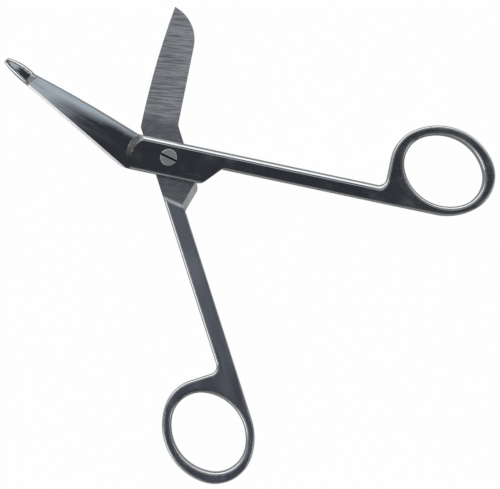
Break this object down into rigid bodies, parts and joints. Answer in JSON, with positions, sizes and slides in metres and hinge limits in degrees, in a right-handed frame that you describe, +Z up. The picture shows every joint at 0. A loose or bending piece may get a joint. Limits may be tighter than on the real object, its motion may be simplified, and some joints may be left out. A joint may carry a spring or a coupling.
{
  "type": "bandage scissors",
  "caption": "Polished steel bandage scissors standing open, with angled blades, a blunt probe tip, oval finger rings and a slotted pivot screw.",
  "frame": {"origin": "pivot axis where it meets the face the scissors rest on, under the screw", "axes": "+Z up from the resting face along the pivot, +X along the inner edge of the probe half's handle towards its ring, +Y to that handle's outer side"},
  "size_m": [0.1395, 0.1266, 0.0045],
  "materials": {
    "polished_steel": "mirror polished, blades ground across",
    "screw_steel": "satin"
  },
  "bodies": {
    "probe_half": {"probe_blade_half": "polished_steel"},
    "short_half": {"short_blade_half": "polished_steel", "pivot_screw": "screw_steel"}
  },
  "joints": [
    {"name": "pivot", "type": "hinge", "parent": "probe_half", "child": "short_half", "pos_m": [0, 0, 0], "axis": [0, 0, 1], "range_deg": [-60, 60.3]}
  ]
}
